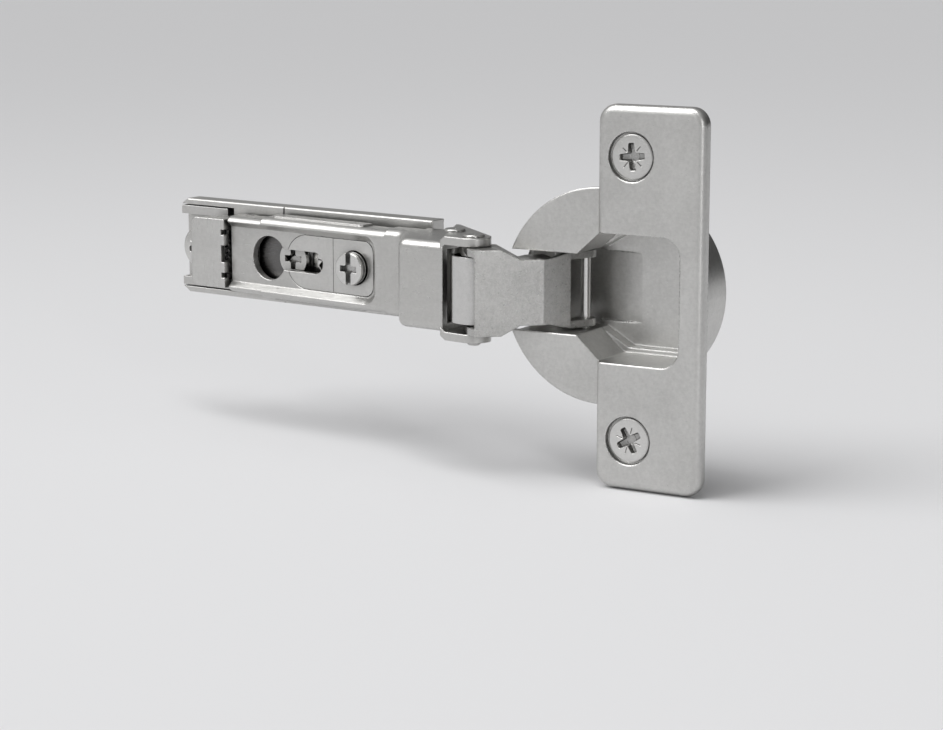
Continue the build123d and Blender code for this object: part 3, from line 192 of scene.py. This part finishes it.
def crosshead_screw(name, place, turn_deg, head_r, head_h, dome, edge_r, shank_r, length, seat, recess):
    """A screw as one closed surface on rings and spokes. The head's height is a dome
    dome * (1 - (r / head_r)^2), less the recess: a cross of slots whose depth is a smooth step of the
    distance to the slot's edge, deepest at the centre, and four fine ticks on the diagonals."""
    spokes = 192
    a = np.linspace(0, 2 * np.pi, spokes, endpoint=False)
    r = np.concatenate([np.linspace(0.02, head_r - edge_r, 56), head_r - edge_r * (1 - np.sin([0.5, 1.0]))])
    rr, aa = np.meshgrid(r, a, indexing="ij")
    x, y = rr * np.cos(aa), rr * np.sin(aa)
    half, reach, depth = recess
    near = np.minimum(np.abs(x), np.abs(y)) - half * (1.25 - 0.35 * rr / reach)
    slot = np.clip(-near / 0.16, 0, 1) * np.clip((reach - np.maximum(np.abs(x), np.abs(y))) / 0.35, 0, 1)
    middle = np.clip((half * 1.75 - rr) / 0.2, 0, 1)
    hollow = np.maximum(slot * (1 - 0.45 * rr / reach), middle)
    u, v = (x + y) / math.sqrt(2), (x - y) / math.sqrt(2)
    tick = np.clip(1 - np.minimum(np.abs(u), np.abs(v)) / 0.11, 0, 1)
    tick = tick * np.clip((rr - half * 1.9) / 0.15, 0, 1) * np.clip((reach * 1.02 - rr) / 0.15, 0, 1)
    crown = dome * (1 - (rr / head_r) ** 2)
    fall = np.where(rr > head_r - edge_r, edge_r * 0.4, 0)
    z = crown - fall - depth * hollow * hollow * (3 - 2 * hollow) - 0.16 * tick
    top = np.stack([x, y, z], -1)
    side = screw_profile(head_r, head_h, edge_r, shank_r, length, seat)
    flank = np.stack([side[:, 0, None] * np.cos(a), side[:, 0, None] * np.sin(a),
                      np.repeat(side[:, 1, None], spokes, 1)], -1)
    rings = np.concatenate([top, flank])
    turn = math.radians(turn_deg)
    spin = np.array([[math.cos(turn), -math.sin(turn), 0], [math.sin(turn), math.cos(turn), 0], [0, 0, 1]])
    return closed_rings(name, (rings @ spin.T) @ np.array(place[1]) + np.array(place[0]))


def closed_rings(name, rings_mm):
    """A closed mesh from rings of points in order: quads between neighbouring rings, fans at the ends."""
    count, spokes = rings_mm.shape[:2]
    i, j = np.meshgrid(np.arange(count - 1), np.arange(spokes), indexing="ij")
    k = (j + 1) % spokes
    quads = np.stack([i * spokes + j, (i + 1) * spokes + j, (i + 1) * spokes + k, i * spokes + k], -1)
    points = rings_mm.reshape(-1, 3) / 1000
    ends = np.stack([points[:spokes].mean(0), points[-spokes:].mean(0)])
    first = np.stack([np.full(spokes, len(points)), np.arange(spokes), (np.arange(spokes) + 1) % spokes], -1)
    last_row = (count - 1) * spokes
    last = np.stack([np.full(spokes, len(points) + 1), last_row + (np.arange(spokes) + 1) % spokes,
                     last_row + np.arange(spokes)], -1)
    mesh = bpy.data.meshes.new(name)
    faces = quads.reshape(-1, 4).tolist() + first.tolist() + last.tolist()
    mesh.from_pydata(np.concatenate([points, ends]).tolist(), [], faces)
    mesh.validate()
    mesh.shade_smooth()
    mesh.set_sharp_from_angle(angle=math.radians(50))
    piece = bpy.data.objects.new(name, mesh)
    bpy.context.scene.collection.objects.link(piece)
    return piece


def joined(name, *pieces):
    """One piece from several closed meshes of the same kind."""
    bpy.ops.object.select_all(action="DESELECT")
    for p in pieces:
        p.select_set(True)
    bpy.context.view_layer.objects.active = pieces[0]
    bpy.ops.object.join()
    pieces[0].name = name
    return pieces[0]


BRIGHT_ZINC = (0.66, 0.655, 0.64)
ALL_WAYS, ALONG_PIN = (1, 1, 1), (1, 1, 0.05)
# painted shade: the screws' recesses are darkened strongly
polished_zinc = satin_metal("polished_zinc_screw", BRIGHT_ZINC, 0.24, ALL_WAYS, 0.05, edge_sheen=0.2,
                            scratch=0.1, painted_shade=0.9, grain_bump=0.03)
PLATE_TOP_Y, CABINET_SCREWS_X = -3.5, 16.0
CABINET_HEAD_H, CABINET_LENGTH = 1.25, 16.8
cabinet_axes = [[1, 0, 0], [0, 0, 1], [0, -1, 0]]
cabinet_pair = [
    crosshead_screw(f"cabinet_screw_{n}", ((x, PLATE_TOP_Y - CABINET_HEAD_H, 0), cabinet_axes), turn, 3.95,
                    CABINET_HEAD_H, 0.5, 0.35, 1.95, CABINET_LENGTH, CABINET_HEAD_H, (0.62, 2.3, 1.1))
    for n, (x, turn) in enumerate(((-CABINET_SCREWS_X, 12), (CABINET_SCREWS_X, 40)))
]
cabinet_screws = joined("cabinet_screws", *cabinet_pair)
cabinet_screws.data.materials.append(polished_zinc)
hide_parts("plate_screws")
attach(cabinet_screws, "base")

# ---- Depth cam
# A turned steel eccentric under the keyhole slot, bright on its slotted head.
turned_steel = satin_metal("turned_steel", (0.56, 0.555, 0.54), 0.24, ALONG_PIN, 0.1, edge_sheen=0.3, scratch=0.0,
                           grain_bump=0.02)
dress("depth_cam", turned_steel)

# ---- Slider and guide channel
# Two cast rails run in the plate's pocket, and a folded sheet channel on them carries the arm. Both
# are plated and duller than the arm because they are inside; the channel's colour is painted shade, far
# darker than the plating, with strong painted shade in its nooks.
shade_dark_sheet = satin_metal("plated_sheet_painted_shade", (0.16, 0.157, 0.155), 0.30, (0.08, 1, 1), 0.15, painted_shade=0.95)
dress("plate_slider", satin_metal("cast_nickel_rail", NICKEL, 0.33, (0.1, 1, 1), 0.2, pebble=0.06))
dress("guide_channel", shade_dark_sheet)

# ---- Release lever, its pin and its spring
# The lever is folded from sheet and its front plate is brushed; the pin is ground steel and the
# spring is bare spring wire.
brushed_sheet = satin_metal("brushed_nickel_lever", (0.60, 0.595, 0.58), 0.31, (1, 1, 0.06), 0.3)
dress("release_lever", brushed_sheet)
dress("lever_pin", turned_steel)
spring_wire = satin_metal("spring_wire", (0.42, 0.415, 0.41), 0.3, ALL_WAYS, 0.05)
dress("lever_spring", spring_wire)

# ---- Hinge arm
# One sheet of steel, folded and pressed, then satin nickel plated. The trough is pressed in, so its
# shoulders are smooth, and the long edges are rounded and brightened with a painted highlight.
dress("arm", satin_metal("satin_nickel_arm", (0.55, 0.545, 0.53), 0.32, (0.12, 1, 1), 0.35, edge_sheen=0.45))

# ---- Inlays in the trough
# The adjuster plate behind the keyhole and the tab round the side screw are stamped sheet, lying
# almost level with the trough's floor.
inlay = satin_metal("stamped_inlay", (0.60, 0.595, 0.58), 0.34, (0.15, 1, 1), 0.18)
dress("adjuster_plate", inlay)
dress("side_adjust_tab", inlay)
dress("tilt_pin", turned_steel)

# ---- Side adjusting screw
# A short threaded steel body with a deep cross slot, zinc plated and polished.
# The slot is darkened with strong painted shade.
dress("side_adjust_screw", satin_metal("polished_adjuster", BRIGHT_ZINC, 0.22, ALL_WAYS, 0.12,
                                       scratch=0.1, painted_shade=0.9, grain_bump=0.03))

# ---- Arm pins, spring and spring sleeve
# Riveted steel pins through the flared cheeks; a wound wire spring on the front one, behind a
# polished curved sleeve.
dress("outer_arm_pin", turned_steel)
dress("inner_arm_pin", turned_steel)
dress("closing_spring", spring_wire)


def bent_sheet(name, centre, radii, sweep_deg, thickness, half):
    """A curved shield: each point is centre + radii * (cos t, sin t) with t along the sweep, carried
    along the pin from -half to half; the inner face follows radii less the thickness."""
    t = np.radians(np.linspace(sweep_deg[0], sweep_deg[1], 49))
    outer = np.stack([radii[0] * np.cos(t), radii[1] * np.sin(t)], -1)
    inner = np.stack([(radii[0] - thickness) * np.cos(t), (radii[1] - thickness) * np.sin(t)], -1)[::-1]
    loop = np.concatenate([outer, inner]) + np.array(centre)
    heights = half * np.sin(np.linspace(-np.pi / 2, np.pi / 2, 13))
    rings = np.stack([np.concatenate([loop, np.full((len(loop), 1), z)], 1) for z in heights])
    return closed_rings(name, rings)


sleeve = bent_sheet("curved_spring_sleeve", (57.2, -15.9), (4.35, 3.3), (165, 325), 0.6, 5.8)
sleeve.data.materials.append(satin_metal("bright_sleeve", (0.62, 0.615, 0.605), 0.17, ALONG_PIN, 0.1))
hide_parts("spring_sleeve")
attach(sleeve, "arm")

# ---- Links
# The outer link is pressed sheet whose web shows fine rubbing marks; its tone is set darker than the
# other nickel parts as painted shade, since its web faces the lamps more, and its edges carry a strong
# painted highlight. The inner link is a plain bowed strap behind it.
dress("outer_link", satin_metal("rubbed_link_painted_shade", (0.47, 0.466, 0.455), 0.31, ALL_WAYS, 0.35, edge_sheen=0.6,
                                scratch=1.0, shade=0.14, painted_shade=0.5, pebble=0.12))
dress("inner_link", satin_metal("plated_strap", (0.45, 0.445, 0.43), 0.34, (0.1, 1, 1), 0.15))
dress("inner_link_pin", turned_steel)

# ---- Hinge cup and its pin
# Die-cast zinc, satin nickel plated: a rim, a flange over half of it and a deep pocket. The casting
# skin is soft and cloudy, and every outer edge is rounded and carries a painted highlight; the nooks take
# only faint painted shade.
dress("cup", satin_metal("cast_nickel_cup", (0.57, 0.566, 0.552), 0.33, ALL_WAYS, 0.5, edge_sheen=0.6,
                         pebble=0.08, shade=0.09, painted_shade=0.08, slit_painted_shade=0.0))
dress("cup_pin", satin_metal("bright_cup_pin", BRIGHT_ZINC, 0.24, ALONG_PIN, 0.1, edge_sheen=0.3,
                             scratch=0.0, painted_shade=0.1, grain_bump=0.02, slit_painted_shade=0.0))

# ---- Door screws
# Countersunk wood screws with crosshead recesses, polished zinc, sunk level with the flange; their recesses
# take strong painted shade.
DOOR_TILT = math.radians(5.5)
CUP_CENTRE = np.array([79.47, -9.59, 0.0])
DOOR_SCREWS_S, DOOR_HEAD_PROUD, DOOR_SCREWS_Z = 6.0, 1.75, 24.0
along_door = np.array([math.cos(DOOR_TILT), math.sin(DOOR_TILT), 0])
out_of_door = np.array([math.sin(DOOR_TILT), -math.cos(DOOR_TILT), 0])
door_axes = [along_door, [0, 0, 1], out_of_door]
door_pair = []
for n, (z, turn) in enumerate(((DOOR_SCREWS_Z, 5.0), (-DOOR_SCREWS_Z, 30.0))):
    face = CUP_CENTRE + along_door * DOOR_SCREWS_S + out_of_door * DOOR_HEAD_PROUD
    seat = face + np.array([0, 0, z])
    door_pair.append(crosshead_screw(f"door_screw_{n}", (seat, door_axes), turn, 3.8, 0.45, 0.05, 0.2, 1.75,
                                     13.3, 1.45, (0.60, 2.4, 1.3)))
door_screws = joined("door_screws", *door_pair)
door_screws.data.materials.append(polished_zinc)
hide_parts("cup_screws")
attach(door_screws, "cup")

# ---- Floor, light and camera
# A plain pale floor under the flange's foot, soft lamps, and the camera.
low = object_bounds()[0][2]
floor_mesh = bpy.data.meshes.new("studio_floor")
t = np.linspace(0, 2 * np.pi, 64, endpoint=False)
ring = np.stack([6 * np.cos(t), 6 * np.sin(t), np.full(64, low - 0.0002)], -1)
floor_mesh.from_pydata(ring.tolist(), [], [list(range(64))])
floor = bpy.data.objects.new("studio_floor", floor_mesh)
bpy.context.scene.collection.objects.link(floor)
pale = bpy.data.materials.new("pale_floor")
pale.use_nodes = True
paint = pale.node_tree.nodes["Principled BSDF"]
paint.inputs["Base Color"].default_value = (0.72, 0.72, 0.73, 1)
paint.inputs["Roughness"].default_value = 0.9
floor_mesh.materials.append(pale)

world = bpy.data.worlds.new("studio")
bpy.context.scene.world = world
world.use_nodes = True
wn, wl = world.node_tree.nodes, world.node_tree.links
sky = wn["Background"]
facing = wn.new("ShaderNodeVectorMath")
facing.operation = "DOT_PRODUCT"
facing.inputs[1].default_value = (-0.55, -0.62, 0.56)
wl.new(wn.new("ShaderNodeTexCoord").outputs["Generated"], facing.inputs[0])
ramp = wn.new("ShaderNodeMapRange")
ramp.inputs["From Min"].default_value, ramp.inputs["From Max"].default_value = -0.6, 1.0
ramp.inputs["To Min"].default_value, ramp.inputs["To Max"].default_value = 0.06, 0.62
wl.new(facing.outputs["Value"], ramp.inputs["Value"])
wl.new(ramp.outputs[0], sky.inputs["Strength"])
sky.inputs["Color"].default_value = (1, 1, 1, 1)


def soft_lamp(name, spot, aim, width, height, watts):
    """A rectangular soft lamp at spot, facing aim."""
    lamp = bpy.data.lights.new(name, "AREA")
    lamp.shape = "RECTANGLE"
    lamp.size, lamp.size_y, lamp.energy = width, height, watts
    o = bpy.data.objects.new(name, lamp)
    bpy.context.scene.collection.objects.link(o)
    o.location = spot
    o.rotation_euler = (Vector(aim) - Vector(spot)).to_track_quat("-Z", "Y").to_euler()
    return o


soft_lamp("top", (0.0, -0.10, 0.60), (0.04, 0, 0), 0.5, 0.15, 1.1)
soft_lamp("upper_glow", (-0.10, -0.60, 0.20), (0.09, 0, 0.03), 0.25, 0.12, 0.10)
soft_lamp("side_strip", (0.72, -0.50, 0.15), (0.06, 0, 0), 0.07, 0.6, 0.9)
sun = bpy.data.lights.new("broad_key", "SUN")
sun.energy, sun.angle = 1.55, math.radians(45)
key = bpy.data.objects.new("broad_key", sun)
bpy.context.scene.collection.objects.link(key)
key.rotation_euler = Vector((0.45, 0.50, -0.74)).to_track_quat("-Z", "Y").to_euler()

camera_data = bpy.data.cameras.new("camera")
camera_data.lens = 93.076
camera_data.sensor_width = 36
camera_data.clip_start = 0.01
camera = bpy.data.objects.new("camera", camera_data)
bpy.context.scene.collection.objects.link(camera)
camera.location = (0.29857, -0.35310, 0.06507)
camera.rotation_euler = (math.radians(90 - 10.709), 0, math.radians(35.655))
bpy.context.scene.camera = camera
bpy.context.scene.view_settings.view_transform = "Standard"
